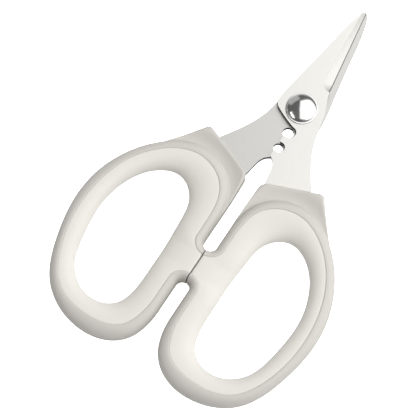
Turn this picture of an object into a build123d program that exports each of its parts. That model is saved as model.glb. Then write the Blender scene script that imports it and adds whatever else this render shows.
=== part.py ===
from build123d import *
import math
import os

# Kitchen shears, closed and lying flat. Millimetres.
# The origin is under the middle of the shears, on the surface they lie on.
# +Y runs along the centre line to the blade tips, +Z is up, and the upper blade's handle is on +X.
# Each half is drawn as the upper one. The lower half is the same shape turned over.

# Overall layout
blade_length = 52.2          # pivot centre to blade tip
pivot_to_bow = 36.6          # pivot centre to the top of the finger bow
bow_length = 91.2
bow_width = 54.95
slot_width = 5.9             # open slot between the closed handles
handle_thickness = 11.0

# Blades
blade_thickness = 2.2
blade_clearance = 0.04       # between the two blades
blade_half_width = 10.7      # centre line to the widest point beside the pivot
edge_length = 39.4           # straight cutting edge, along the centre line
tip_round = 0.45
tip_trim = 0.53              # length that rounding takes off the tip
bevel_width = 4.1            # ground band along the cutting edge, at its heel
bevel_tip_width = 1.5
hollow_depth = 0.12          # how far the ground band is hollowed
edge_thickness = 0.25        # left at the cutting edge

# Toothed inner edge and the herb holes under it
tooth_reach = -0.1           # from the centre line to the tips of the teeth, just past it
tooth_round = 0.6
scallop_radii = (2.6, 2.3)
scallop_depths = (4.0, 3.5)  # from the centre line to the bottom of each scallop
herb_hole_radii = (2.35, 2.05)
herb_hole_offset = 0.6       # from the centre line, away from the handle of the blade with the holes
herb_hole_drops = (11.45, 19.35) # pivot centre to each hole and its scallop
edge_end_drop = 24.5         # pivot centre to the lower end of the toothed edge
hidden_corner_round = 1.5

# Shank and tang
shank_length = 36.0          # pivot centre to the neck's inner corner
shank_flare = 24.5           # centre line to the outer corner of the tang
tang_drop = 66.8             # pivot centre to the end of the tail
tang_corner_round = 2.0
tail_width = 4.8
tail_cover = 1.65            # plastic between the tail and the slot
tang_hole_radius = 2.2
tang_hole_offset = 14.4      # from the centre line
tang_hole_drop = 36.4
tail_hole_radius = 1.1
tail_hole_inset = 9.0        # end of the tail to its hole

# Neck of the handle
neck_width = 24.45           # front edge, inner corner to outer corner
neck_rise = 9.6              # how far the outer corner lies in front of the inner corner
neck_inset = 0.5             # inner corner, beyond the side of the slot
neck_step = 1.5              # the neck is lower than the bow by this, above and below
neck_inner_round = 2.6
neck_outer_round = 1.9
neck_edge_round = 1.3

# Finger bow
rim_round = 3.5              # rounded outer edge
hole_round = 4.9             # rounded edge of the finger hole
bow_slot_wall = 12.5         # from the finger hole to the outside of the bow, by the slot
bow_outer_wall = 10.35       # the same on the outer side
bow_top_wall = 15.0
bow_bottom_wall = 13.2

# Soft insert of the bow
rim_slot_width = 3.55        # hard rim outside the soft insert, by the slot
rim_outer_width = 4.0
rim_top_width = 4.3
rim_bottom_width = 5.5
insert_cover = 2.1           # soft layer over the hard web
insert_wall = 2.6            # soft wall round the finger hole

# Stop pads, where the closed handles meet
stop_gap = 0.2               # between the two pads
stop_top_drop = 73.0         # pivot centre to the upper end of the meeting line
stop_length = 15.4
stop_round = 0.8             # edges of the meeting face
stop_root = 9.4              # centre line to the root of the pad inside the bow
collar_width = 3.1           # hard collar between each notch and the soft pad

# Pivot
shank_radius = 2.5           # plain part of the bolt
thread_radius = 2.0
pivot_clearance = 0.05       # round the bolt in the blades, washers and nut
head_radius = 6.25
head_rim_height = 0.45
head_height = 2.75
washer_radius = 6.85
washer_thickness = 0.5
washer_chamfer = 0.12
spring_radius = 5.2
spring_thickness = 0.35
spring_dish = 0.25
nut_radius = 5.2
nut_thickness = 2.0
nut_chamfer = 0.5
thread_end_gap = 0.2         # the bolt stops this far inside the nut
key_hole_radius = 0.75
key_hole_spread = 3.5        # from the centre to each key hole of the nut
key_hole_depth = 1.2

# Every cutter runs past the solid by this much
overrun = 1.0
# Two places closer than this are taken as one
touch = 0.001

# Derived places
tip_y = (blade_length + pivot_to_bow + bow_length) / 2
pivot_y = tip_y - blade_length
bow_top_y = pivot_y - pivot_to_bow
bow_bottom_y = bow_top_y - bow_length
bow_inner_x = slot_width / 2
tail_x = bow_inner_x + tail_cover
mid_z = handle_thickness / 2
blade_bottom_z = mid_z + blade_clearance / 2
blade_top_z = blade_bottom_z + blade_thickness
lower_blade_bottom_z = handle_thickness - blade_top_z

# Outlines of the bow as shares of each outline's own width and length.
# Each starts at the upper end of the straight side by the slot and runs clockwise to its lower end.
ring_shares = (
    (0.0, 0.255), (0.099, 0.074), (0.42, 0.0), (0.668, 0.067), (0.855, 0.192), (0.974, 0.353),
    (1.0, 0.518), (0.947, 0.699), (0.77, 0.913), (0.44, 1.0), (0.193, 0.975), (0.068, 0.91),
    (0.024, 0.85), (0.0, 0.745),
)
insert_shares = (
    (0.0, 0.27), (0.082, 0.079), (0.38, 0.0), (0.57, 0.033), (0.854, 0.195), (0.979, 0.389),
    (1.0, 0.527), (0.939, 0.752), (0.717, 0.955), (0.411, 1.0), (0.099, 0.942), (0.012, 0.82),
    (0.0, 0.74),
)
hole_shares = (
    (0.0, 0.5), (0.008, 0.4), (0.028, 0.25), (0.095, 0.1), (0.368, 0.0), (0.657, 0.052), (0.885, 0.2),
    (1.0, 0.43), (0.961, 0.668), (0.81, 0.894), (0.46, 1.0), (0.118, 0.943), (0.012, 0.8),
    (0.0, 0.66),
)

# Inside of the neck, as shares of the bow's width and length
neck_side_shares = ((0.614, 0.023), (0.80, 0.15))
neck_root_shares = ((0.31, 0.145), (0.16, 0.276), (0.1, 0.342), (0.015, 0.342), (0.0, 0.243), (0.0, 0.145))

# Blade outline as shares of the blade's half width and of its length past the pivot
spine_shares = (
    (-0.131, 0.972), (-0.257, 0.89), (-0.486, 0.634), (-0.766, 0.279), (-0.967, 0.013), (-0.986, -0.044)
)
heel_corner_shares = (-0.856, -0.079)
shoulder_shares = (-0.418, -0.126)
edge_heel_share = 0.542
front_shares = ((0.729, 0.138), (0.888, 0.054), (0.995, -0.044))

# Shank and tang as shares of the flare and of the shank's or the tang's length
flare_shares = ((0.473, 0.203), (0.551, 0.361), (0.718, 0.58), (0.914, 0.783), (1.0, 0.869))
inner_shank_shares = ((0.5, 0.18), (0.78, 0.5), (1.0, 1.0))
tang_shares = ((0.837, 0.596), (0.571, 0.656))
tail_bend_share = 0.73
bevel_heel_share = 0.93      # centre of the ground band's rounded end, in band widths from the heel


def at_pivot(x, drop):
    """A point by its place from the centre line and its drop below the pivot."""
    return (x, pivot_y - drop)


def flip(part):
    """The same part turned over about the centre line, for the lower half."""
    return Pos(0, 0, handle_thickness) * Rot(0, 180, 0) * part


def slab(face, low, high):
    """The face as a flat solid between two heights."""
    return extrude(Pos(0, 0, low) * face, amount=high - low, dir=(0, 0, 1))


def level_edges(part, heights, left=-overrun):
    """Edges of the part that lie flat at one of the heights, to the right of one place."""
    chosen = []
    for edge in part.edges():
        box = edge.bounding_box()
        flat = any(abs(box.min.Z - z) < touch and abs(box.max.Z - z) < touch for z in heights)
        if flat and box.min.X > left - touch:
            chosen.append(edge)
    return chosen


def round_corners(face, corners, radius):
    """The face with the vertices nearest to the given corners rounded."""
    vertices = [face.vertices().sort_by_distance(Vector(*corner))[0] for corner in corners]
    return fillet(vertices, radius)


# Blades

def blade_point(share):
    """A point by its shares of the blade's half width and of its length past the pivot."""
    return (share[0] * blade_half_width, pivot_y + share[1] * blade_length)


def scallop_half_width(index):
    """Half the opening of a scallop, measured along the tips of the teeth."""
    centre = scallop_depths[index] - scallop_radii[index]
    return math.sqrt(scallop_radii[index] ** 2 - (centre - tooth_reach) ** 2)


def shoulder_arc():
    """Edge of the blade round the pivot, from the heel corner to the top of the first scallop."""
    end = at_pivot(scallop_depths[0] - scallop_radii[0], herb_hole_drops[0] - scallop_radii[0])
    return ThreePointArc(blade_point(heel_corner_shares), blade_point(shoulder_shares), end)


def toothed_edge():
    """Inner edge of the upper blade: deep scallops with teeth between them."""
    edges = [shoulder_arc()]
    for index, drop in enumerate(herb_hole_drops):
        half_width = scallop_half_width(index)
        if index:
            edges.append(Line(edges[-1] @ 1, at_pivot(tooth_reach, drop - half_width)))
        bottom = at_pivot(tooth_reach, drop + half_width)
        edges.append(ThreePointArc(edges[-1] @ 1, at_pivot(scallop_depths[index], drop), bottom))
    edges.append(Line(edges[-1] @ 1, at_pivot(tooth_reach, edge_end_drop)))
    corners = [edge @ 0 for edge in edges[1:]] + [edges[-1] @ 1]
    return edges, corners, tooth_round


def covered_edge():
    """Inner edge of the lower blade, which lies under the upper one when the shears are closed."""
    shoulder = shoulder_arc().trim(0, 0.5)
    start = shoulder @ 1
    bend = (start.X, pivot_y - edge_end_drop - start.X)
    side = Line(start, bend)
    slope = Line(bend, at_pivot(0, edge_end_drop))
    return [shoulder, side, slope], [start, bend], hidden_corner_round


def tang_edges(start, end):
    """Outline of the tang inside the handle, from the inner shank round its tail to the outer shank."""
    tail_right = tail_x + tail_width
    points = [
        start,
        at_pivot(tail_x, tang_drop),
        at_pivot(tail_right, tang_drop),
        at_pivot(tail_right, tail_bend_share * tang_drop),
        at_pivot(tang_shares[1][0] * shank_flare, tang_shares[1][1] * tang_drop),
        at_pivot(tang_shares[0][0] * shank_flare, tang_shares[0][1] * tang_drop),
        end,
    ]
    return [Line(first, second) for first, second in zip(points, points[1:])], points


def blade_face(inner_edge):
    """Flat outline of one blade with its shank and tang."""
    edges, corners, corner_round = inner_edge
    tip = (0, tip_y + tip_trim)
    heel = (edge_heel_share * blade_half_width, tip_y - edge_length)
    spine = [blade_point(share) for share in spine_shares]
    foot = edges[-1] @ 1
    depth = shank_length - edge_end_drop
    shank = [at_pivot(u * tail_x, edge_end_drop + v * depth) for u, v in inner_shank_shares]
    flare = [at_pivot(u * shank_flare, v * shank_length) for u, v in flare_shares]
    tang, tang_points = tang_edges(shank[-1], flare[-1])
    front = Spline(*reversed([heel, *[blade_point(share) for share in front_shares], *flare]))
    outline = [
        Line(heel, tip),
        Line(tip, spine[0]),
        Spline(*spine),
        Line(spine[-1], blade_point(heel_corner_shares)),
        *edges,
        Spline(foot, *shank),
        *tang,
        front,
    ]
    face = make_face(outline)
    face = round_corners(face, corners, corner_round)
    face = round_corners(face, [tip], tip_round)
    return round_corners(face, tang_points[1:-1], tang_corner_round)


def ground_section(width, back):
    """What grinding takes off at one place: in from the cutting edge, and down from the face."""
    depth = blade_thickness - edge_thickness
    start = (0, -depth)
    hollow = ThreePointArc(start, (width / 2, -depth / 2 - hollow_depth), (width, 0))
    points = [(width, 0), (width, overrun), (-back, overrun), (-back, -depth)]
    if back:
        points.append(start)
    return make_face([hollow, Polyline(*points)])


def ground_band():
    """Cutter of the ground band: it narrows to the tip and ends round at the heel."""
    heel = Vector(edge_heel_share * blade_half_width, tip_y - edge_length, blade_top_z)
    tip = Vector(0, tip_y, blade_top_z)
    along = (tip - heel).normalized()
    inward = (-along.Y, along.X, 0)
    start = heel + along * (bevel_width * bevel_heel_share)
    end = tip + along * overrun
    first = Plane(start, x_dir=inward, z_dir=along) * ground_section(bevel_width, overrun)
    last = Plane(end, x_dir=inward, z_dir=along) * ground_section(bevel_tip_width, overrun)
    round_end = Plane(start, x_dir=inward, z_dir=along) * ground_section(bevel_width, 0)
    return loft([first, last]) + revolve(round_end, axis=Axis(start, (0, 0, 1)))


def blade(inner_edge, herb_holes):
    """One blade with its shank and tang, lying as the upper blade does."""
    face = blade_face(inner_edge)
    face -= Pos(0, pivot_y) * Circle(shank_radius + pivot_clearance)
    face -= Pos(tang_hole_offset, pivot_y - tang_hole_drop) * Circle(tang_hole_radius)
    face -= Pos(tail_x + tail_width / 2, pivot_y - tang_drop + tail_hole_inset) * Circle(tail_hole_radius)
    if herb_holes:
        for radius, drop in zip(herb_hole_radii, herb_hole_drops):
            face -= Pos(-herb_hole_offset, pivot_y - drop) * Circle(radius)
    return slab(face, blade_bottom_z, blade_top_z) - ground_band()


# Handles

def bow_outline(shares, slot_wall, outer_wall, top_wall, bottom_wall):
    """A closed outline inside the bow: a straight side by the slot and one smooth curve."""
    left = bow_inner_x + slot_wall
    top = bow_top_y - top_wall
    width = bow_width - slot_wall - outer_wall
    length = bow_length - top_wall - bottom_wall
    points = [(left + u * width, top - v * length) for u, v in shares]
    curve = Spline(*points, tangents=[(0, 1), (0, 1)], tangent_scalars=(1, 1))
    return make_face([curve, Line(points[-1], points[0])])


def hole_outline(wall):
    """The finger hole with a wall added all round."""
    return bow_outline(
        hole_shares, bow_slot_wall - wall, bow_outer_wall - wall, bow_top_wall - wall, bow_bottom_wall - wall
    )


def stop_face(notch_radius, reach):
    """Plan of the stop pad between two round notches."""
    top = pivot_y - stop_top_drop + bow_inner_x
    bottom = pivot_y - stop_top_drop - stop_length - bow_inner_x
    width = stop_root - reach
    face = Pos((stop_root + reach) / 2, (top + bottom) / 2) * Rectangle(width, top - bottom)
    for centre_y in (top, bottom):
        face -= Pos(0, centre_y) * Circle(notch_radius)
    return face


def bow():
    """The bow with its stop pad, its rounded rim and its rounded finger hole."""
    faces = (0, handle_thickness)
    reach = stop_gap / 2
    plan = bow_outline(ring_shares, 0, 0, 0, 0) + stop_face(bow_inner_x, reach)
    solid = slab(plan, 0, handle_thickness)
    rim = [edge for edge in level_edges(solid, faces) if edge.bounding_box().max.X > reach + touch]
    solid = fillet(rim, rim_round)
    meeting = [edge for edge in level_edges(solid, faces) if edge.bounding_box().max.X < reach + touch]
    solid = fillet(meeting, stop_round)
    solid -= slab(hole_outline(0), -overrun, handle_thickness + overrun)
    return fillet(level_edges(solid, faces, bow_inner_x + bow_slot_wall), hole_round)


def neck():
    """The lower block that holds the tang."""
    left = bow_inner_x
    inner_corner = (left + neck_inset, pivot_y - shank_length - neck_inset)
    outer_corner = (inner_corner[0] + neck_width, inner_corner[1] + neck_rise)
    middle, end = [(left + u * bow_width, bow_top_y - v * bow_length) for u, v in neck_side_shares]
    root = [(left + u * bow_width, bow_top_y - v * bow_length) for u, v in neck_root_shares]
    side = ThreePointArc(outer_corner, middle, end)
    face = make_face([side, Polyline(end, *root, inner_corner, outer_corner)])
    face = round_corners(face, [inner_corner], neck_inner_round)
    face = round_corners(face, [outer_corner], neck_outer_round)
    solid = slab(face, neck_step, handle_thickness - neck_step)
    return fillet(level_edges(solid, (neck_step, handle_thickness - neck_step)), neck_edge_round)


def handle_envelope():
    """Outside of one whole handle."""
    return bow() + neck()


def insert_zone():
    """Space that the soft insert takes, seen from above: an oval and a tongue to the stop pad."""
    oval = bow_outline(insert_shares, rim_slot_width, rim_outer_width, rim_top_width, rim_bottom_width)
    tongue = stop_face(bow_inner_x + collar_width, -overrun)
    return slab(oval + tongue, -overrun, handle_thickness + overrun)


def web_zone():
    """Space of the hard web that the soft insert is moulded over."""
    left = stop_gap / 2 + insert_cover
    right = bow_inner_x + bow_width
    middle = ((left + right) / 2, (bow_top_y + bow_bottom_y) / 2)
    face = Pos(*middle) * Rectangle(right - left, bow_length + neck_rise * 2)
    return slab(face - hole_outline(insert_wall), insert_cover, handle_thickness - insert_cover)


def handle(tang):
    """Hard shell and soft insert of one handle, moulded round the tang."""
    envelope = handle_envelope()
    grip = (envelope & insert_zone()) - web_zone()
    shell = envelope - grip - tang
    return shell, grip


# Pivot

def turned(*edges):
    """A turned piece from half its section, standing at the pivot."""
    return Pos(0, pivot_y, 0) * revolve(Plane.XZ * make_face(edges), axis=Axis.Z)


def pivot_bolt():
    """Domed head, plain shank through both blades and a threaded end."""
    seat = blade_top_z + washer_thickness
    top = seat + head_height
    rim = seat + head_rim_height
    rise = head_height - head_rim_height
    dome_radius = (head_radius ** 2 + rise ** 2) / (2 * rise)
    half_angle = math.asin(head_radius / dome_radius) / 2
    dome_middle = (
        dome_radius * math.sin(half_angle), top - dome_radius + dome_radius * math.cos(half_angle)
    )
    shoulder = nut_top()
    end = shoulder - nut_thickness + thread_end_gap
    return turned(
        ThreePointArc((0, top), dome_middle, (head_radius, rim)),
        Polyline(
            (head_radius, rim), (head_radius, seat), (shank_radius, seat), (shank_radius, shoulder),
            (thread_radius, shoulder), (thread_radius, end), (0, end), (0, top),
        ),
    )


def head_washer():
    """Flat washer under the bolt head."""
    inside = shank_radius + pivot_clearance
    low = blade_top_z
    high = low + washer_thickness
    return turned(
        Polyline(
            (inside, low), (washer_radius, low), (washer_radius, high - washer_chamfer),
            (washer_radius - washer_chamfer, high), (inside, high), (inside, low),
        )
    )


def spring_top():
    """Height of the spring washer's outer rim, just under the lower blade."""
    return lower_blade_bottom_z - blade_clearance


def nut_top():
    """Height of the nut's upper face, under the spring washer's inner rim."""
    return spring_top() - spring_dish - spring_thickness


def spring_washer():
    """Dished washer that presses the blades together."""
    inside = shank_radius + pivot_clearance
    high = spring_top()
    return turned(
        Polyline(
            (spring_radius, high), (spring_radius, high - spring_thickness),
            (inside, nut_top()), (inside, nut_top() + spring_thickness), (spring_radius, high),
        )
    )


def pivot_nut():
    """Round nut with two key holes."""
    inside = thread_radius + pivot_clearance
    high = nut_top()
    low = high - nut_thickness
    nut = turned(
        Polyline(
            (inside, low), (nut_radius - nut_chamfer, low), (nut_radius, low + nut_chamfer),
            (nut_radius, high), (inside, high), (inside, low),
        )
    )
    for side in (-1, 1):
        hole = Pos(side * key_hole_spread, pivot_y) * Circle(key_hole_radius)
        nut -= slab(hole, low - overrun, low + key_hole_depth)
    return nut


# The whole shears

upper_blade = blade(toothed_edge(), False)
lower_blade = blade(covered_edge(), True)
handle_shell, finger_grip = handle(upper_blade)

pieces = {
    "upper_blade": upper_blade,
    "lower_blade": flip(lower_blade),
    "upper_handle_shell": handle_shell,
    "lower_handle_shell": flip(handle_shell),
    "upper_finger_grip": finger_grip,
    "lower_finger_grip": flip(finger_grip),
    "pivot_bolt": pivot_bolt(),
    "head_washer": head_washer(),
    "spring_washer": spring_washer(),
    "pivot_nut": pivot_nut(),
}

os.makedirs("parts", exist_ok=True)
for name, piece in pieces.items():
    export_step(piece, f"parts/{name}.step")
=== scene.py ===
import math

import bmesh
import bpy
import numpy as np
from bpy.props import FloatProperty, FloatVectorProperty, IntProperty, PointerProperty
from mathutils import Matrix, Vector


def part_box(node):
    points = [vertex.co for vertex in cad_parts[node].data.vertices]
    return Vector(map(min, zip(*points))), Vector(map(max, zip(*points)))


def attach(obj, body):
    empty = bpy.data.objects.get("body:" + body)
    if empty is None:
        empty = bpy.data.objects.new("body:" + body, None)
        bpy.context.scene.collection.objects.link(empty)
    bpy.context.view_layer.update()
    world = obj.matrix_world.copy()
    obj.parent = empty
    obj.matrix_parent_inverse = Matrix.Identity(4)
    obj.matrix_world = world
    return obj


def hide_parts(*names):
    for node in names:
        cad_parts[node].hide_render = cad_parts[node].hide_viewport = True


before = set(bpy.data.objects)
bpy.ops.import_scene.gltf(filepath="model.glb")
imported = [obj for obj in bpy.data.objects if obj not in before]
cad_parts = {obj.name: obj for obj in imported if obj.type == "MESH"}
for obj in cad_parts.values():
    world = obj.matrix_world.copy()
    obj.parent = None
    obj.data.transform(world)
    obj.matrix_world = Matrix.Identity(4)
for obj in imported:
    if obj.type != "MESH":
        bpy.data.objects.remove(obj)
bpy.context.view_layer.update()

bl_info = {
    "name": "Kitchen Shears",
    "version": (1, 0, 0),
    "blender": (4, 5, 0),
    "location": "View3D > Sidebar > Shears",
    "description": "Builds the visible pieces of a pair of kitchen shears on their CAD frame",
    "category": "Add Mesh",
}

# The shears lie flat and closed. +Y runs to the tips, +Z is up, the upper blade's handle is on +X.
# Each half is built as the upper one, and the lower half is the same piece turned over.

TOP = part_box("upper_handle_shell")[1].z
MIDDLE = TOP / 2
PIVOT = Vector((0, sum(corner.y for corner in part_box("head_washer")) / 2, 0))
BOW_TOP = 0.0012
BOW_SIZE = (0.05495, 0.0912)
SLOT_SIDE = 0.00295          # centre line to the side of the open slot
STOP_SIDE = 0.00025          # centre line to the meeting face
NOTCH_HEIGHTS = (-0.03225, -0.05355)
COLLAR_WIDTH = 0.0031        # hard collar between each notch and the insert's meeting face
EDGE_HEEL = (0.0058, 0.0506)     # cutting edge of the upper blade
EDGE_TIP = 0.09053

# Plan outlines of the bow as shares of each outline's own width and length.
# Each starts at the upper end of the straight side by the slot and runs clockwise to its lower end.
RIM_SHARES = (
    (0.0, 0.255), (0.099, 0.074), (0.42, 0.0), (0.668, 0.067), (0.855, 0.192), (0.974, 0.353),
    (1.0, 0.518), (0.947, 0.699), (0.77, 0.913), (0.44, 1.0), (0.193, 0.975), (0.068, 0.91),
    (0.024, 0.85), (0.0, 0.745),
)
PARTING_SHARES = (
    (0.0, 0.27), (0.082, 0.079), (0.38, 0.0), (0.57, 0.033), (0.854, 0.195), (0.979, 0.389),
    (1.0, 0.527), (0.939, 0.752), (0.717, 0.955), (0.411, 1.0), (0.099, 0.942), (0.012, 0.82),
    (0.0, 0.74),
)
HOLE_SHARES = (
    (0.0, 0.5), (0.008, 0.4), (0.028, 0.25), (0.095, 0.1), (0.368, 0.0), (0.657, 0.052), (0.885, 0.2),
    (1.0, 0.43), (0.961, 0.668), (0.81, 0.894), (0.46, 1.0), (0.118, 0.943), (0.012, 0.8),
    (0.0, 0.66),
)
# Walls from the bow's outside: by the slot, outer side, top, bottom
RIM_WALLS = (0, 0, 0, 0)
PARTING_WALLS = (0.00355, 0.004, 0.0043, 0.0055)
HOLE_WALLS = (0.0125, 0.01035, 0.015, 0.0132)

# Steps along the bow: slot side to top, to the outermost place, to the bottom, to the slot side
BOW_STEPS = (34, 46, 46, 34)
LOWER_SLOT_STEPS = 12
NOTCH_STEPS = 12
STOP_STEPS = 10
UPPER_SLOT_STEPS = 8

# Plan of the neck: both ends of its front, a place on its outer side, that side's end and its root in the bow
NECK_FRONT = ((0.00345, 0.0013), (0.0279, 0.0109))
NECK_SIDE = (0.0367, -0.0009)
NECK_END = (0.0469, -0.01248)
NECK_ROOT = (
    (0.01998, -0.012), (0.0117, -0.024), (0.0084, -0.030), (0.0038, -0.030), (0.00295, -0.021),
    (0.00295, -0.012),
)
NECK_SIDE_STEPS = 16
NECK_ROUND_STEPS = 6
PLUG_SHARE = 0.35            # how far out under the rim the neck is cut away, from parting line to rim
PLUG_MARGIN = 0.001          # how far the cutter of the neck stands out below and above it

# Limits that tell the blades' faces apart, as parts of their normals
WALL_TILT = 0.4
OUTER_FACING = 0.35
BAND_TILTS = (0.5, 0.97)

# Slots of the blades' materials, after the satin one: ground band, stamped walls in painted shade, honed line
# in painted shade
GROUND, SHADED_WALL, HONED_SHADE = 1, 2, 3

# Middle part of the noise, which is stretched over the whole range
NOISE_SPREAD = (0.3, 0.7)
WHITE = (1, 1, 1, 1)


# Outlines

def through(places, per_span=24):
    """A smooth run of points through the places that leaves and arrives along +Y."""
    knots = np.array(places, float)
    spans = np.linalg.norm(np.diff(knots, axis=0), axis=1)
    size = len(knots)
    matrix = np.eye(size)
    target = np.zeros((size, 2))
    target[0] = target[-1] = (0, 1)
    for i in range(1, size - 1):
        before, after = spans[i - 1], spans[i]
        matrix[i, i - 1:i + 2] = after, 2 * (before + after), before
        target[i] = 3 * (
            after * (knots[i] - knots[i - 1]) / before + before * (knots[i + 1] - knots[i]) / after
        )
    slopes = np.linalg.solve(matrix, target)
    run = []
    for i, span in enumerate(spans):
        for t in np.linspace(0, 1, per_span, endpoint=False):
            run.append(
                knots[i] * (1 + 2 * t) * (1 - t) ** 2 + slopes[i] * span * t * (1 - t) ** 2
                + knots[i + 1] * t * t * (3 - 2 * t) + slopes[i + 1] * span * t * t * (t - 1)
            )
    return np.array(run + [knots[-1]])


def evenly(run, steps):
    """The run divided evenly into a number of steps, without its last point."""
    lengths = np.r_[0, np.cumsum(np.linalg.norm(np.diff(run, axis=0), axis=1))]
    marks = np.linspace(0, lengths[-1], steps, endpoint=False)
    return [Vector((np.interp(m, lengths, run[:, 0]), np.interp(m, lengths, run[:, 1]), 0)) for m in marks]


def bow_outline(shares, walls):
    """Smooth outline inside the bow, clockwise from the straight side by the slot."""
    by_slot, outer, above, below = walls
    left, top = SLOT_SIDE + by_slot, BOW_TOP - above
    width, length = BOW_SIZE[0] - by_slot - outer, BOW_SIZE[1] - above - below
    return through([(left + u * width, top - v * length) for u, v in shares])


def round_the_bow(run):
    """Matched places from the slot side over the top, the outer side and the bottom to the slot side."""
    marks = [0, run[:, 1].argmax(), run[:, 0].argmax(), run[:, 1].argmin(), len(run) - 1]
    places = []
    for start, end, steps in zip(marks, marks[1:], BOW_STEPS):
        places += evenly(run[start:end + 1], steps)
    return places


def notch(height, reach_x, reach_y, side, count=30):
    """Places on the round from the slot's side to the meeting face. side is -1 to go down, 1 to go up."""
    last = math.acos(STOP_SIDE / reach_x)
    turns = np.linspace(0, last, count)
    return np.array([(reach_x * math.cos(a), height + side * reach_y * math.sin(a)) for a in turns])


def stop_runs(outline, notch_reach):
    """Places down the lower part of the slot, round the lower notch, and the same for the upper part."""
    x = outline[0, 0]
    upper, lower = NOTCH_HEIGHTS
    below = evenly(np.array([outline[-1], (x, lower)]), LOWER_SLOT_STEPS)
    below += evenly(notch(lower, x, notch_reach, 1), NOTCH_STEPS)
    above = evenly(notch(upper, x, notch_reach, -1)[::-1], NOTCH_STEPS)
    above += evenly(np.array([(x, upper), outline[0]]), UPPER_SLOT_STEPS)
    return below, above


class Outlines:
    """Plan outlines of one bow, matched place by place, from the upper notch of the meeting line."""

    def __init__(self):
        rim = bow_outline(RIM_SHARES, RIM_WALLS)
        parting = bow_outline(PARTING_SHARES, PARTING_WALLS)
        hole = bow_outline(HOLE_SHARES, HOLE_WALLS)
        upper, lower = NOTCH_HEIGHTS
        notch_reach = SLOT_SIDE
        collar_reach = SLOT_SIDE + COLLAR_WIDTH
        rim_below, rim_above = stop_runs(rim, notch_reach)
        part_below, part_above = stop_runs(parting, collar_reach)
        rim_end = Vector((STOP_SIDE, lower + notch_reach, 0))
        part_end = Vector((STOP_SIDE, lower + collar_reach, 0))
        part_start = Vector((STOP_SIDE, upper - collar_reach, 0))
        self.rim = rim_above + round_the_bow(rim) + rim_below + [rim_end]
        self.parting = part_above + round_the_bow(parting) + part_below + [part_end]
        stop = evenly(np.array([part_end.xy, part_start.xy]), STOP_STEPS)[1:]
        self.ring = self.parting + stop
        self.on_stop = len(self.parting) - 1
        # the hole's places level with the ends of the parting's straight side
        closed = np.vstack([hole, hole[:1]])
        size = len(closed)
        left = closed[:, 0] < closed[:, 0].mean()
        first = min(i for i in range(size) if left[i] and closed[i, 1] > parting[0, 1])
        last = min(i for i in range(size // 2, size) if left[i] and closed[i, 1] > parting[-1, 1])
        around = round_the_bow(closed[first:last + 1])
        slot_run = np.vstack([closed[last:], closed[1:first + 1]])
        to_stop_end = LOWER_SLOT_STEPS + NOTCH_STEPS + STOP_STEPS
        slot_places = evenly(slot_run, to_stop_end + NOTCH_STEPS + UPPER_SLOT_STEPS)
        self.hole = slot_places[to_stop_end:] + around + slot_places[:to_stop_end]


# Mesh helpers

def pulled_up(count, steps, closed):
    """A bmesh of loops, each extruded from the one before it. Each step gives the place of a station."""
    bm = bmesh.new()
    station = bm.verts.layers.int.new("station")
    verts = []
    for i in range(count):
        vert = bm.verts.new(steps[0](i))
        vert[station] = i
        verts.append(vert)
    edges = [bm.edges.new(pair) for pair in zip(verts, verts[1:])]
    if closed:
        edges.append(bm.edges.new((verts[-1], verts[0])))
    for place in steps[1:]:
        made = bmesh.ops.extrude_edge_only(bm, edges=edges)["geom"]
        edges = [part for part in made if isinstance(part, bmesh.types.BMEdge)]
        edges = [edge for edge in edges if all(vert in set(made) for vert in edge.verts)]
        for vert in made:
            if isinstance(vert, bmesh.types.BMVert):
                vert.co = place(vert[station])
    return bm


def pushed_up(bm, height):
    """Pulls the flat faces up into a solid."""
    made = bmesh.ops.extrude_face_region(bm, geom=bm.faces[:])["geom"]
    lifted = [part for part in made if isinstance(part, bmesh.types.BMVert)]
    bmesh.ops.translate(bm, verts=lifted, vec=(0, 0, height))
    bmesh.ops.recalc_face_normals(bm, faces=bm.faces)


def rounded(bm, parts, width, segments, kind="EDGES", clamp=False):
    """Rounds edges, or the corners of a flat face where kind is VERTICES."""
    bmesh.ops.bevel(
        bm, geom=parts, offset=width, segments=segments, affect=kind, profile=0.5, material=-1,
        clamp_overlap=clamp,
    )


def cut_across(bm, place, normal, tolerance=1e-6):
    """Cuts every face that the plane goes through."""
    bmesh.ops.bisect_plane(
        bm, geom=bm.verts[:] + bm.edges[:] + bm.faces[:], dist=tolerance, plane_co=place, plane_no=normal
    )


def turned_over(bm):
    """The same piece for the lower half."""
    bmesh.ops.rotate(bm, verts=bm.verts, cent=(0, 0, MIDDLE), matrix=Matrix.Rotation(math.pi, 3, "Y"))


def mirrored_below(bm):
    """Adds the mirror image below the middle height, then lifts the piece to its place."""
    bmesh.ops.mirror(bm, geom=bm.verts[:] + bm.edges[:] + bm.faces[:], merge_dist=1e-7, axis="Z")
    bmesh.ops.translate(bm, verts=bm.verts, vec=(0, 0, MIDDLE))
    bmesh.ops.remove_doubles(bm, verts=bm.verts, dist=1e-7)


def new_piece(bm, name, node, body, slot, materials, crease=35):
    """A finished piece that stands for a CAD node and rides on its body."""
    mesh = bpy.data.meshes.new(name)
    bm.to_mesh(mesh)
    bm.free()
    mesh.shade_smooth()
    mesh.set_sharp_from_angle(angle=math.radians(crease))
    for material in materials:
        mesh.materials.append(material)
    piece = bpy.data.objects.new(name, mesh)
    bpy.context.scene.collection.objects.link(piece)
    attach(piece, body)
    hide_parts(node)
    return piece


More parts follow.
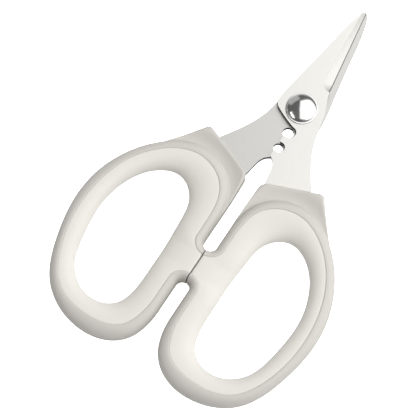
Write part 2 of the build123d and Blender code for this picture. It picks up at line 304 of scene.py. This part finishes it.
def combined(first, second, operation):
    """Boolean of two bmeshes, as a new bmesh."""
    objects = []
    for bm in (first, second):
        mesh = bpy.data.meshes.new("solid")
        bm.to_mesh(mesh)
        bm.free()
        objects.append(bpy.data.objects.new("solid", mesh))
        bpy.context.scene.collection.objects.link(objects[-1])
    modifier = objects[0].modifiers.new("join", "BOOLEAN")
    modifier.object = objects[1]
    modifier.operation = operation
    modifier.solver = "EXACT"
    shown = objects[0].evaluated_get(bpy.context.evaluated_depsgraph_get())
    result = bmesh.new()
    result.from_mesh(shown.to_mesh())
    shown.to_mesh_clear()
    for old in objects:
        mesh = old.data
        bpy.data.objects.remove(old)
        bpy.data.meshes.remove(mesh)
    return result


# Handles

def quarter(steps):
    """Turns from 0 to a right angle."""
    return [math.pi / 2 * i / steps for i in range(steps + 1)]


def grip_mesh(sizes, outlines):
    """Soft insert: from the middle of the hole's wall, over its crown and into the parting groove."""
    power = 2 / sizes.crown_fullness
    steps = []

    def step(share, height, drop_in):
        """share across the crown, height, and distance in from the parting line."""
        def place(i):
            part, hole = outlines.ring[i], outlines.hole[i]
            across = part - hole
            on_stop = i >= outlines.on_stop or i == 0
            edge = sizes.stop_round if on_stop else sizes.groove_round
            sunk = sizes.stop_round if on_stop else sizes.groove_depth
            gap = 0 if on_stop else sizes.groove_width / 2
            unit = across.normalized()
            end = part - unit * (gap + edge)
            start_to_end = end - hole
            point = hole + start_to_end * share + unit * edge * drop_in
            return point + Vector((0, 0, height[0] - sunk * height[1]))
        return place

    crown = MIDDLE - sizes.lip_height
    for a in quarter(14):
        steps.append(step(1 - math.cos(a) ** power, (crown * math.sin(a) ** power, 0), 0))
    for a in quarter(4)[1:]:
        steps.append(step(1, (crown, 1 - math.cos(a)), math.sin(a)))
    steps.append(step(1, (0, 0), 1))
    bm = pulled_up(len(outlines.ring), steps, True)
    mirrored_below(bm)
    bmesh.ops.recalc_face_normals(bm, faces=bm.faces)
    return bm


def rim_mesh(sizes, outlines):
    """Hard rim of the bow: from the parting groove over its lip and down its rounded outside."""
    steps = []

    def step(from_part, share, height):
        """Distance out from the groove, share of what is left to the outside, and height."""
        def place(i):
            part, rim = outlines.parting[i], outlines.rim[i]
            across = rim - part
            unit = across.normalized()
            start = part + unit * (sizes.groove_width / 2 + from_part)
            point = start + (rim - start) * share
            return point + Vector((0, 0, height))
        return place

    lip = sizes.groove_round
    steps.append(step(0, 0, 0))
    for a in quarter(4):
        steps.append(step(lip * (1 - math.cos(a)), 0, MIDDLE - sizes.groove_depth * (1 - math.sin(a))))
    power = 2 / sizes.rim_fullness
    for a in quarter(12)[1:]:
        drop = sizes.rim_drop * (1 - math.cos(a) ** power)
        steps.append(step(lip, math.sin(a) ** power, MIDDLE - drop))
    steps.append(step(lip, 1, 0))
    bm = pulled_up(len(outlines.parting), steps, False)
    mirrored_below(bm)
    bmesh.ops.holes_fill(bm, edges=bm.edges, sides=0)
    bmesh.ops.recalc_face_normals(bm, faces=bm.faces)
    return bm


def arc_through(start, middle, end, steps):
    """Places on the arc through three places."""
    a, b, c = (Vector(p) for p in (start, middle, end))
    d = 2 * (a.x * (b.y - c.y) + b.x * (c.y - a.y) + c.x * (a.y - b.y))
    aa, bb, cc = a.length_squared, b.length_squared, c.length_squared
    centre = Vector((
        (aa * (b.y - c.y) + bb * (c.y - a.y) + cc * (a.y - b.y)) / d,
        (aa * (c.x - b.x) + bb * (a.x - c.x) + cc * (b.x - a.x)) / d,
    ))
    first, last = a - centre, c - centre
    turn = first.angle_signed(last)
    return [centre + Matrix.Rotation(-turn * i / steps, 2) @ first for i in range(steps + 1)]


def cut_in_cells(bm, size):
    """Cuts the piece by two rows of upright planes, so that its faces can bend."""
    for axis in (0, 1):
        places = [vert.co[axis] for vert in bm.verts]
        normal = Vector((1 - axis, axis, 0))
        for i in range(1, int((max(places) - min(places)) / size)):
            cut_across(bm, normal * (min(places) + i * size), normal)


def cut_finer_by(bm, rim, reach, least):
    """Cuts the cells near the rim in nine each, so that the valley's steep side bends in small steps."""
    near = {
        vert for vert in bm.verts
        if abs(vert.co.z - MIDDLE) > least and np.linalg.norm(rim - vert.co.xy, axis=1).min() < reach
    }
    edges = [e for e in bm.edges if e.verts[0] in near and e.verts[1] in near]
    bmesh.ops.subdivide_edges(bm, edges=edges, cuts=2, use_grid_fill=True)


def hollowed(bm, sizes, outlines):
    """Lets the neck's faces sink towards the bow and run up its rounded rim in a soft valley."""
    rim = np.array([place.xy for place in outlines.rim])
    cut_in_cells(bm, sizes.neck_cell)
    high = MIDDLE - sizes.neck_step
    cut_finer_by(bm, rim, sizes.fine_reach, high - sizes.bend_margin)
    widths = np.array([(a - b).length for a, b in zip(outlines.rim, outlines.parting)]) - sizes.groove_round
    starts, spans = rim[:-1], np.diff(rim, axis=0)
    for vert in bm.verts:
        height = abs(vert.co.z - MIDDLE)
        if height < high - sizes.neck_edge_round - sizes.bend_margin:
            continue
        offsets = np.array(vert.co.xy) - starts
        t = np.clip((offsets * spans).sum(axis=1) / (spans ** 2).sum(axis=1), 0, 1)
        gaps = np.linalg.norm(offsets - spans * t[:, None], axis=1)
        i = gaps.argmin()
        left = spans[i][0] * offsets[i][1] - spans[i][1] * offsets[i][0] > 0
        outside = gaps[i] if left else -gaps[i]
        width = widths[i] + (widths[i + 1] - widths[i]) * t[i]
        near = min(max(1 - outside / sizes.valley_reach, 0), 1)
        floor = high - sizes.valley_depth * near * near * (3 - 2 * near)
        inside = min(max(-outside / width, 0), 1)
        flank = MIDDLE - sizes.rim_drop * (1 - math.sqrt(1 - (1 - inside) ** 2))
        closeness = max(1 - abs(flank - floor) / sizes.valley_round, 0)
        surface = max(flank, floor) + sizes.valley_round / 4 * closeness ** 2
        if flank > floor:
            surface -= sizes.valley_dive * min((flank - floor) / sizes.valley_round, 1)
        weight = (height / high) ** 4
        vert.co.z = MIDDLE + math.copysign(height + (surface - high) * weight, vert.co.z - MIDDLE)


def neck_mesh(sizes, outlines):
    """Lower block in front of the bow, cut away where the soft insert lies."""
    side = arc_through(NECK_FRONT[1], NECK_SIDE, NECK_END, NECK_SIDE_STEPS)
    plan = [NECK_FRONT[0]] + side + list(NECK_ROOT)
    bm = bmesh.new()
    verts = [bm.verts.new((p[0], p[1], sizes.neck_step)) for p in plan]
    bm.faces.new(verts)
    rounded(bm, [verts[0]], sizes.neck_inner_round, NECK_ROUND_STEPS, "VERTICES")
    outer = min(bm.verts, key=lambda v: (v.co.xy - Vector(NECK_FRONT[1])).length)
    rounded(bm, [outer], sizes.neck_outer_round, NECK_ROUND_STEPS, "VERTICES")
    pushed_up(bm, TOP - 2 * sizes.neck_step)
    level = [e for e in bm.edges if abs(e.verts[0].co.z - e.verts[1].co.z) < 1e-6]
    rounded(bm, level, sizes.neck_edge_round, NECK_ROUND_STEPS)
    hollowed(bm, sizes, outlines)
    plug = bmesh.new()
    ring = [p.lerp(r, PLUG_SHARE) for p, r in zip(outlines.parting, outlines.rim)]
    plug.faces.new([plug.verts.new((p.x, p.y, -PLUG_MARGIN)) for p in ring])
    pushed_up(plug, TOP + 2 * PLUG_MARGIN)
    return combined(bm, plug, "DIFFERENCE")


def shell_mesh(sizes, outlines):
    """Hard shell: rim and neck in one."""
    bm = combined(rim_mesh(sizes, outlines), neck_mesh(sizes, outlines), "UNION")
    bmesh.ops.remove_doubles(bm, verts=bm.verts, dist=2e-6)
    return bm


# Blades and pivot

def softened_copy(node, width, segments=2, sharp=28):
    """Copy of a CAD node with its flat faces whole and its sharp edges slightly rounded."""
    bm = bmesh.new()
    bm.from_mesh(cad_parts[node].data)
    bmesh.ops.remove_doubles(bm, verts=bm.verts, dist=1e-6)
    bmesh.ops.dissolve_limit(
        bm, angle_limit=math.radians(0.5), use_dissolve_boundaries=False, verts=bm.verts, edges=bm.edges
    )
    edges = [e for e in bm.edges if e.is_manifold and e.calc_face_angle(0) > math.radians(sharp)]
    rounded(bm, edges, width, segments, clamp=True)
    bmesh.ops.recalc_face_normals(bm, faces=bm.faces)
    return bm


def cut_honed_line(bm, width, outward):
    """Cuts the ground band along the edge for the line of painted shade, and returns a function for the
    distance in from the edge.
    """
    heel = Vector((EDGE_HEEL[0] * outward, EDGE_HEEL[1], 0))
    tip = Vector((0, EDGE_TIP, 0))
    across = (tip - heel).cross(Vector((0, 0, outward))).normalized() * -1

    def inward(place):
        return (Vector((place.x, place.y, 0)) - heel).dot(across)

    band = [
        f for f in bm.faces
        if f.calc_center_median().y > PIVOT.y and f.normal.z * outward > BAND_TILTS[0]
    ]
    parts = set(band)
    for face in band:
        parts.update(face.edges)
        parts.update(face.verts)
    bmesh.ops.bisect_plane(bm, geom=list(parts), dist=1e-7, plane_co=heel + across * width, plane_no=across)
    return inward


def turned_mesh(section, steps=96):
    """A piece turned from half its section, given as distances from the pivot and heights."""
    bm = bmesh.new()
    verts = [bm.verts.new(PIVOT + Vector((r, 0, z))) for r, z in section]
    edges = [bm.edges.new(pair) for pair in zip(verts, verts[1:])]
    bmesh.ops.spin(
        bm, geom=verts + edges, cent=PIVOT, axis=(0, 0, 1), angle=2 * math.pi, steps=steps, use_merge=True
    )
    bmesh.ops.remove_doubles(bm, verts=bm.verts, dist=1e-6)
    bmesh.ops.recalc_face_normals(bm, faces=bm.faces)
    return bm


# Materials

def plain_material(name, colour, roughness, metallic=0.0):
    """A material, its nodes, its links and its shader."""
    material = bpy.data.materials.new(name)
    material.use_nodes = True
    nodes, links = material.node_tree.nodes, material.node_tree.links
    shader = nodes["Principled BSDF"]
    shader.inputs["Base Color"].default_value = (*colour, 1)
    shader.inputs["Roughness"].default_value = roughness
    shader.inputs["Metallic"].default_value = metallic
    return material, nodes, links, shader


def noise(nodes, links, grains, detail=3.0):
    """Noise on the piece's own coordinates, with so many grains a metre along each axis."""
    place = nodes.new("ShaderNodeTexCoord")
    mapping = nodes.new("ShaderNodeMapping")
    mapping.inputs["Scale"].default_value = grains
    texture = nodes.new("ShaderNodeTexNoise")
    texture.inputs["Scale"].default_value = 1.0
    texture.inputs["Detail"].default_value = detail
    links.new(place.outputs["Object"], mapping.inputs["Vector"])
    links.new(mapping.outputs["Vector"], texture.inputs["Vector"])
    return texture.outputs["Fac"]


def varied(nodes, links, fac, low, high):
    """The noise spread between two values."""
    spread = nodes.new("ShaderNodeMapRange")
    spread.inputs["From Min"].default_value, spread.inputs["From Max"].default_value = NOISE_SPREAD
    spread.inputs["To Min"].default_value = low
    spread.inputs["To Max"].default_value = high
    links.new(fac, spread.inputs["Value"])
    return spread.outputs["Result"]


def tinted(nodes, links, fac, colour, change):
    """The colour made lighter and darker by the noise."""
    ramp = nodes.new("ShaderNodeValToRGB")
    dark, light = ramp.color_ramp.elements
    dark.position, light.position = NOISE_SPREAD
    dark.color = (*[c * (1 - change) for c in colour], 1)
    light.color = (*[min(c * (1 + change), 1) for c in colour], 1)
    links.new(fac, ramp.inputs["Fac"])
    return ramp.outputs["Color"]


def bumped(nodes, links, shader, fac, depth):
    """Relief of the noise on the shader's normal, with its depth in metres."""
    bump = nodes.new("ShaderNodeBump")
    bump.inputs["Strength"].default_value = 1.0
    bump.inputs["Distance"].default_value = depth
    links.new(fac, bump.inputs["Height"])
    links.new(bump.outputs["Normal"], shader.inputs["Normal"])


def satin_steel(sizes, name, share_of_colour):
    """Flat blade faces: fine lengthwise grain."""
    # A share below one darkens the colour, as painted shade on the lower blade
    colour = tuple(c * share_of_colour for c in sizes.steel_colour)
    material, nodes, links, shader = plain_material(name, colour, sizes.steel_roughness, 1.0)
    grain = noise(nodes, links, (5000, 500, 3000))
    links.new(tinted(nodes, links, grain, colour, 0.035), shader.inputs["Base Color"])
    rough, change = sizes.steel_roughness, 0.04
    links.new(varied(nodes, links, grain, rough - change, rough + change), shader.inputs["Roughness"])
    bumped(nodes, links, shader, grain, sizes.grain_depth)
    return material


def ground_steel(sizes):
    """Ground band of the blades: scratches across the cutting edge."""
    colour = tuple(c * sizes.ground_share for c in sizes.steel_colour)
    material, nodes, links, shader = plain_material("ground_steel", colour, sizes.ground_roughness, 1.0)
    scratches = noise(nodes, links, (600, 6000, 600))
    links.new(tinted(nodes, links, scratches, colour, 0.06), shader.inputs["Base Color"])
    bumped(nodes, links, shader, scratches, sizes.grain_depth)
    return material


def dark_steel(sizes, name, share_of_colour):
    """Rough steel darkened as painted shade, for the stamped inner walls and the honed line of the cutting
    edge.
    """
    colour = tuple(c * share_of_colour for c in sizes.steel_colour)
    material, nodes, links, shader = plain_material(name, colour, 0.55, 1.0)
    marks = noise(nodes, links, (2500, 2500, 700))
    links.new(tinted(nodes, links, marks, colour, 0.12), shader.inputs["Base Color"])
    bumped(nodes, links, shader, marks, sizes.grain_depth)
    return material


def polished_chrome(sizes):
    """Mirror finish of the bolt head."""
    colour = tuple(sizes.chrome_colour)
    rough, change = sizes.chrome_roughness, 0.02
    material, nodes, links, shader = plain_material("polished_chrome", colour, rough, 1.0)
    haze = noise(nodes, links, (900, 900, 900))
    links.new(varied(nodes, links, haze, rough - change, rough + change), shader.inputs["Roughness"])
    return material


def turned_steel(sizes):
    """Hidden pivot pieces: dull turned steel."""
    colour = (0.55, 0.55, 0.54)
    material, nodes, links, shader = plain_material("turned_steel", colour, 0.36, 1.0)
    grain = noise(nodes, links, (2500, 2500, 2500))
    links.new(tinted(nodes, links, grain, colour, 0.05), shader.inputs["Base Color"])
    bumped(nodes, links, shader, grain, sizes.grain_depth)
    return material


def moulded_plastic(sizes):
    """Hard warm grey shell with a fine moulded grain."""
    colour = tuple(sizes.shell_colour)
    material, nodes, links, shader = plain_material("moulded_plastic", colour, 0.52)
    grain = noise(nodes, links, (3500, 3500, 3500))
    links.new(tinted(nodes, links, grain, colour, 0.015), shader.inputs["Base Color"])
    bumped(nodes, links, shader, grain, sizes.plastic_grain)
    return material


def soft_rubber(sizes):
    """Off-white soft insert: duller and a little warmer."""
    colour = tuple(sizes.grip_colour)
    material, nodes, links, shader = plain_material("soft_rubber", colour, 0.62)
    shader.inputs["Sheen Weight"].default_value = 0.15
    shader.inputs["Sheen Roughness"].default_value = 0.6
    grain = noise(nodes, links, (2600, 2600, 2600))
    links.new(tinted(nodes, links, grain, colour, 0.012), shader.inputs["Base Color"])
    bumped(nodes, links, shader, grain, sizes.plastic_grain)
    return material


# Settings

def length(name, description, default, low=0.0, high=1.0):
    """A length in metres."""
    return FloatProperty(
        name=name, description=description, default=default, min=low, max=high, unit="LENGTH",
        subtype="DISTANCE", precision=5,
    )


def share(name, description, default, high=1.0):
    """A plain number."""
    return FloatProperty(name=name, description=description, default=default, min=0.0, max=high)


def colour(name, description, default):
    """A colour in linear light."""
    return FloatVectorProperty(
        name=name, description=description, default=default, min=0.0, max=1.0, size=3, subtype="COLOR"
    )


class SteelSettings(bpy.types.PropertyGroup):
    """Blades and pivot."""

    edge_round: length("Edge rounding", "Rounding of the blades' stamped edges", 0.00007)
    steel_colour: colour("Steel", "Colour of the satin blades", (0.595, 0.588, 0.563))
    steel_roughness: share("Steel roughness", "Roughness of the satin faces", 0.36)
    # Painted shade: the lower blade is the same satin steel, made darker as a whole
    lower_painted_shade: share("Lower blade", "Brightness of the lower blade, as a share of the upper one's", 0.80)
    ground_share: share("Ground band", "Brightness of the bands, as a share of the flat face's", 1.08, 2.0)
    ground_roughness: share("Ground band roughness", "Roughness of the ground bands", 0.55)
    # Painted shade: how dark the stamped walls are made, as a share of the flat face's colour
    wall_painted_shade: share("Stamped walls", "Brightness of the inner walls, as a share of the flat face's", 0.22)
    # Painted shade: the line along the honed cutting edge is darkened as the edge's shadow
    honed_shade_share: share("Honed line", "Brightness of the honed line, as a share of the flat face's", 0.2)
    honed_shade_width: length("Honed line width", "Width of the dark honed line along the cutting edge", 0.00036)
    heel_shade: length("Heel shade", "Length of the dark wall behind the heel of the cutting edge", 0.0045)
    pale_wall_length: length("Pale wall", "How far behind the pivot the lower blade's walls stay pale", 0.008)
    chrome_colour: colour("Chrome", "Colour of the bolt head", (0.62, 0.62, 0.61))
    chrome_roughness: share("Chrome roughness", "Roughness of the bolt head", 0.18)
    grain_depth: length("Grain depth", "Depth of the grain in the steel", 0.000004)
    head_rim_height: length("Head rim", "Height of the rim under the bolt's dome", 0.00045)
    shank_radius: length("Shank radius", "Radius of the bolt's plain shank", 0.0025)
    shank_end: length("Shank end", "Height at which the plain shank ends and the thread starts", 0.00264)
    thread_radius: length("Thread radius", "Radius of the bolt's threaded end", 0.002)
    thread_chamfer: length("Thread chamfer", "Chamfer at the bolt's end", 0.0002)
    head_rim_round: length("Head rim rounding", "Height of the small slope under the dome's edge", 0.00012)
    head_rim_step: length("Head rim step", "How far the dome ends inside the rim", 0.00004)
    head_foot_chamfer: length("Head foot chamfer", "Chamfer where the head meets the washer", 0.0001)
    pivot_edge_round: length("Pivot edge rounding", "Rounding of the washers' and the nut's edges", 0.00005)
    dome_steps: IntProperty(
        name="Dome steps", description="Steps of the bolt head's arc", default=20, min=6, max=64
    )


class HandleSettings(bpy.types.PropertyGroup):
    """Shells and soft inserts."""

    crown_fullness: share("Crown fullness", "How square the insert's section is. 2 is an ellipse", 2.3, 6.0)
    rim_fullness: share("Rim fullness", "How square the rim's section is. 2 is an ellipse", 2.0, 6.0)
    rim_drop: length("Rim drop", "Height of the rounded rim", 0.0038)
    lip_height: length("Lip height", "How far the rim's lip stands above the insert", 0.00012)
    groove_width: length("Groove width", "Open groove between shell and insert", 0.00001)
    groove_round: length("Groove rounding", "Width of the rounding on both sides of the groove", 0.00045)
    groove_depth: length("Groove depth", "Depth of the rounding on both sides of the groove", 0.0002)
    stop_round: length("Stop rounding", "Rounding of the meeting faces", 0.0007)
    neck_step: length("Neck step", "How far the neck lies below the bow", 0.0015)
    neck_inner_round: length("Inner corner", "Rounding of the neck's corner by the slot", 0.0026)
    neck_outer_round: length("Outer corner", "Rounding of the neck's outer corner", 0.0017)
    neck_edge_round: length("Neck edge", "Rounding of the neck's edges", 0.0015)
    neck_cell: length("Neck cell", "Size of the cells that the neck's faces are cut in", 0.0006)
    fine_reach: length("Fine reach", "How far from the rim the neck's cells are cut finer", 0.0022)
    bend_margin: length("Bend margin", "Margin for telling which of the neck's faces bend", 0.00001)
    valley_reach: length("Valley reach", "How far from the bow the neck starts to sink", 0.0075)
    valley_depth: length("Valley depth", "How far the neck sinks towards the bow", 0.0018)
    valley_round: length("Valley rounding", "Softness of the valley between neck and bow", 0.0016)
    valley_dive: length("Valley dive", "How far the valley's surface ends under the rim", 0.00008)
    shell_colour: colour("Shell", "Colour of the hard shell", (0.605, 0.582, 0.545))
    grip_colour: colour("Insert", "Colour of the soft insert", (0.78, 0.755, 0.705))
    plastic_grain: length("Grain depth", "Depth of the moulded grain", 0.000012)


class StageSettings(bpy.types.PropertyGroup):
    """Camera, floor and lights."""

    camera_place: FloatVectorProperty(
        name="Camera", description="Place of the camera", default=(0.10515, -0.19647, 0.71582), unit="LENGTH"
    )
    camera_target: FloatVectorProperty(
        name="Target", description="Place that the camera looks at", default=(-0.00854, -0.01953, 0.0055),
        unit="LENGTH",
    )
    picture_turn: FloatProperty(
        name="Picture turn", description="Angle from +X to the picture's right side", default=0.57517,
        subtype="ANGLE",
    )
    lens: FloatProperty(name="Lens", description="Focal length in millimetres", default=154.13)
    floor_size: length("Floor size", "Side of the square floor", 6.0, 0.0, 20.0)
    floor_colour: colour("Floor", "Colour of the floor", (0.85, 0.85, 0.85))
    floor_glow: share("Floor glow", "Light that the floor adds to the picture", 1.6, 5.0)
    world_light: share("World light", "Even light from all round", 0.16, 10.0)
    softbox_light: share("Softbox light", "Brightness of the large soft light", 1.7, 100.0)
    softbox_place: FloatVectorProperty(
        name="Softbox place",
        description="Place of the soft light from the pivot: to the picture's right, up, back",
        default=(0.66, 0.90, 0.675), unit="LENGTH",
    )
    softbox_tilt: FloatProperty(
        name="Softbox tilt", description="Tilt of the soft light about the picture's upright", default=0.5585,
        subtype="ANGLE",
    )
    softbox_size: FloatVectorProperty(
        name="Softbox size", description="Width and height of the soft light", default=(1.98, 3.0), size=2,
        unit="LENGTH",
    )
    strip_light: share("Strip light", "Brightness of the narrow light on the left", 6.5, 100.0)
    strip_place: FloatVectorProperty(
        name="Strip place", description="Place of the narrow light from the pivot: to the right, up, back",
        default=(-0.74, -0.14, 0.66), unit="LENGTH",
    )
    strip_size: FloatVectorProperty(
        name="Strip size", description="Width and height of the narrow light", default=(0.55, 0.08), size=2,
        unit="LENGTH",
    )
    wall_light: share("Wall light", "Brightness of the pale wall behind the tips", 0.48, 100.0)
    wall_place: FloatVectorProperty(
        name="Wall place", description="Place of the pale wall from the pivot: to the right, up, back",
        default=(-0.621, 1.14, 0.058), unit="LENGTH",
    )
    wall_size: FloatVectorProperty(
        name="Wall size", description="Width and height of the pale wall", default=(1.05, 0.8), size=2,
        unit="LENGTH",
    )


# Operators

UPPER = ("upper", "upper_half", False)
LOWER = ("lower", "lower_half", True)


class SHEARS_OT_blades(bpy.types.Operator):
    """Make both blades with softened edges and their ground bands"""

    bl_idname = "shears.blades"
    bl_label = "Blades"

    def execute(self, context):
        sizes = context.scene.shears_steel
        shared = (
            ground_steel(sizes), dark_steel(sizes, "stamped_wall_painted_shade", sizes.wall_painted_shade),
            dark_steel(sizes, "honed_line_painted_shade", sizes.honed_shade_share),
        )
        for side, body, below in (UPPER, LOWER):
            node = f"{side}_blade"
            bm = softened_copy(node, sizes.edge_round)
            outward = -1 if below else 1
            inward = cut_honed_line(bm, sizes.honed_shade_width, outward)
            shade_end = EDGE_HEEL[1] - sizes.heel_shade
            dark_below = PIVOT.y - (sizes.pale_wall_length if below else 0)
            for y in (EDGE_HEEL[1], shade_end):
                cut_across(bm, (0, y, 0), (0, 1, 0))
            for face in bm.faces:
                tilt = face.normal.z * outward
                middle = face.calc_center_median()
                ahead = middle.y > PIVOT.y
                by_heel = shade_end < middle.y < EDGE_HEEL[1]
                outer = face.normal.x * outward > OUTER_FACING
                # Painted shade: inner walls, and the outer wall behind the heel, get the dark steel; the
                # lower blade's walls by the pivot stay pale
                if abs(tilt) < WALL_TILT and (by_heel if outer else middle.y < dark_below):
                    face.material_index = SHADED_WALL
                elif ahead and BAND_TILTS[0] < tilt < BAND_TILTS[1]:
                    # Painted shade: a thin dark line on the honed edge stands in for the edge's shadow
                    face.material_index = HONED_SHADE if inward(middle) < sizes.honed_shade_width else GROUND
            # The lower blade gets a darker copy of the same satin steel: painted shade
            satin = satin_steel(sizes, f"{side}_satin_steel", sizes.lower_painted_shade if below else 1.0)
            piece = new_piece(bm, f"{side}_blade_steel", node, body, "blade_steel", (satin, *shared))
            piece.modifiers.new("flat faces", "WEIGHTED_NORMAL").keep_sharp = True
        return {"FINISHED"}


class SHEARS_OT_inserts(bpy.types.Operator):
    """Make the soft inserts of both finger bows"""

    bl_idname = "shears.inserts"
    bl_label = "Soft inserts"

    def execute(self, context):
        sizes = context.scene.shears_handles
        material = soft_rubber(sizes)
        for side, body, below in (UPPER, LOWER):
            bm = grip_mesh(sizes, Outlines())
            if below:
                turned_over(bm)
            name, node = f"{side}_soft_insert", f"{side}_finger_grip"
            new_piece(bm, name, node, body, "soft_grip", (material,), crease=50)
        return {"FINISHED"}


class SHEARS_OT_shells(bpy.types.Operator):
    """Make the hard shells of both handles"""

    bl_idname = "shears.shells"
    bl_label = "Hard shells"

    def execute(self, context):
        sizes = context.scene.shears_handles
        material = moulded_plastic(sizes)
        for side, body, below in (UPPER, LOWER):
            bm = shell_mesh(sizes, Outlines())
            if below:
                turned_over(bm)
            name, node = f"{side}_hard_shell", f"{side}_handle_shell"
            new_piece(bm, name, node, body, "handle_shell", (material,), crease=30)
        return {"FINISHED"}


class SHEARS_OT_pivot(bpy.types.Operator):
    """Make the domed bolt, its washers and its nut"""

    bl_idname = "shears.pivot"
    bl_label = "Pivot"

    def execute(self, context):
        sizes = context.scene.shears_steel
        chrome, dull = polished_chrome(sizes), turned_steel(sizes)
        low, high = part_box("pivot_bolt")
        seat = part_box("head_washer")[1].z
        radius, top, end = high.x, high.z, low.z
        rim = seat + sizes.head_rim_height
        shank, thread, end_of_shank = sizes.shank_radius, sizes.thread_radius, sizes.shank_end
        rise = top - rim
        dome = (radius ** 2 + rise ** 2) / (2 * rise)
        half = math.asin(radius / dome)
        count = sizes.dome_steps
        section = [
            (dome * math.sin(half * i / count), top - dome + dome * math.cos(half * i / count))
            for i in range(count)
        ]
        foot, chamfer = sizes.head_foot_chamfer, sizes.thread_chamfer
        section += [
            (radius - sizes.head_rim_step, rim), (radius, rim - sizes.head_rim_round), (radius, seat + foot),
            (radius - foot, seat), (shank, seat), (shank, end_of_shank), (thread, end_of_shank),
            (thread, end + chamfer), (thread - chamfer, end), (0, end),
        ]
        new_piece(turned_mesh(section), "bolt", "pivot_bolt", "upper_half", "pivot_chrome", (chrome,))
        for name, node, slot, material in (
            ("ring_washer", "head_washer", "pivot_chrome", chrome),
            ("dished_washer", "spring_washer", "pivot_steel", dull),
            ("round_nut", "pivot_nut", "pivot_steel", dull),
        ):
            bm = softened_copy(node, sizes.pivot_edge_round)
            new_piece(bm, name, node, "upper_half", slot, (material,), crease=40)
        return {"FINISHED"}


def soft_light(name, place, turn, size, radiance):
    """A rectangular light of even brightness that shines along its own -Z."""
    light = bpy.data.lights.new(name, "AREA")
    light.shape = "RECTANGLE"
    light.size, light.size_y = size
    light.energy = radiance * math.pi * light.size * light.size_y
    lamp = bpy.data.objects.new(name, light)
    lamp.matrix_world = Matrix.Translation(place) @ turn.to_4x4()
    bpy.context.scene.collection.objects.link(lamp)


class SHEARS_OT_stage(bpy.types.Operator):
    """Set up the floor, the soft lights and the camera"""

    bl_idname = "shears.stage"
    bl_label = "Stage"

    def execute(self, context):
        stage = context.scene.shears_stage
        scene = context.scene
        scene.view_settings.view_transform = "Standard"

        bm = bmesh.new()
        bmesh.ops.create_grid(bm, x_segments=1, y_segments=1, size=stage.floor_size / 2)
        mesh = bpy.data.meshes.new("floor")
        bm.to_mesh(mesh)
        bm.free()
        floor = bpy.data.objects.new("floor", mesh)
        scene.collection.objects.link(floor)
        material, nodes, links, shader = plain_material("pale_floor", tuple(stage.floor_colour), 0.9)
        shader.inputs["Specular IOR Level"].default_value = 0.0
        shader.inputs["Emission Color"].default_value = WHITE
        path = nodes.new("ShaderNodeLightPath")
        glow = nodes.new("ShaderNodeMath")
        glow.operation = "MULTIPLY"
        glow.inputs[1].default_value = stage.floor_glow
        links.new(path.outputs["Is Camera Ray"], glow.inputs[0])
        links.new(glow.outputs[0], shader.inputs["Emission Strength"])
        mesh.materials.append(material)

        world = bpy.data.worlds.new("studio")
        world.use_nodes = True
        background = world.node_tree.nodes["Background"]
        background.inputs["Color"].default_value = WHITE
        background.inputs["Strength"].default_value = stage.world_light
        scene.world = world

        back = (Vector(stage.camera_place) - Vector(stage.camera_target)).normalized()
        right = Vector((math.cos(stage.picture_turn), math.sin(stage.picture_turn), 0))
        right = (right - back * right.dot(back)).normalized()
        turn = Matrix((right, back.cross(right), back)).transposed()

        soft_light(
            "softbox", PIVOT + turn @ Vector(stage.softbox_place),
            turn @ Matrix.Rotation(stage.softbox_tilt, 3, "Y"), stage.softbox_size, stage.softbox_light,
        )
        for name, place, size, radiance in (
            ("side_strip", stage.strip_place, stage.strip_size, stage.strip_light),
            ("pale_wall", stage.wall_place, stage.wall_size, stage.wall_light),
        ):
            away = turn @ Vector(place)
            soft_light(name, PIVOT + away, away.to_track_quat("Z", "Y").to_matrix(), size, radiance)

        camera = bpy.data.cameras.new("camera")
        camera.lens = stage.lens
        camera.sensor_width = 36
        camera.clip_start, camera.clip_end = 0.01, 20
        holder = bpy.data.objects.new("camera", camera)
        holder.matrix_world = Matrix.Translation(stage.camera_place) @ turn.to_4x4()
        scene.collection.objects.link(holder)
        scene.camera = holder
        return {"FINISHED"}


class VIEW3D_PT_shears(bpy.types.Panel):
    """Lists the pieces of the shears"""

    bl_label = "Kitchen Shears"
    bl_space_type = "VIEW_3D"
    bl_region_type = "UI"
    bl_category = "Shears"

    def draw(self, context):
        scene = context.scene
        for title, settings, operators in (
            ("Steel", scene.shears_steel, ("shears.blades", "shears.pivot")),
            ("Handles", scene.shears_handles, ("shears.inserts", "shears.shells")),
            ("Stage", scene.shears_stage, ("shears.stage",)),
        ):
            box = self.layout.box()
            box.label(text=title)
            for name in settings.__annotations__:
                box.prop(settings, name)
            for operator in operators:
                box.operator(operator)


CLASSES = (
    SteelSettings, HandleSettings, StageSettings, SHEARS_OT_blades, SHEARS_OT_inserts, SHEARS_OT_shells,
    SHEARS_OT_pivot, SHEARS_OT_stage, VIEW3D_PT_shears,
)


def register():
    """Add the settings, operators and panel."""
    for cls in CLASSES:
        bpy.utils.register_class(cls)
    bpy.types.Scene.shears_steel = PointerProperty(type=SteelSettings)
    bpy.types.Scene.shears_handles = PointerProperty(type=HandleSettings)
    bpy.types.Scene.shears_stage = PointerProperty(type=StageSettings)


def unregister():
    """Take them away again."""
    del bpy.types.Scene.shears_stage
    del bpy.types.Scene.shears_handles
    del bpy.types.Scene.shears_steel
    for cls in reversed(CLASSES):
        bpy.utils.unregister_class(cls)


def main():
    """Build every piece."""
    register()
    bpy.ops.shears.blades()
    bpy.ops.shears.pivot()
    bpy.ops.shears.inserts()
    bpy.ops.shears.shells()
    bpy.ops.shears.stage()


if __name__ == "__main__":
    main()
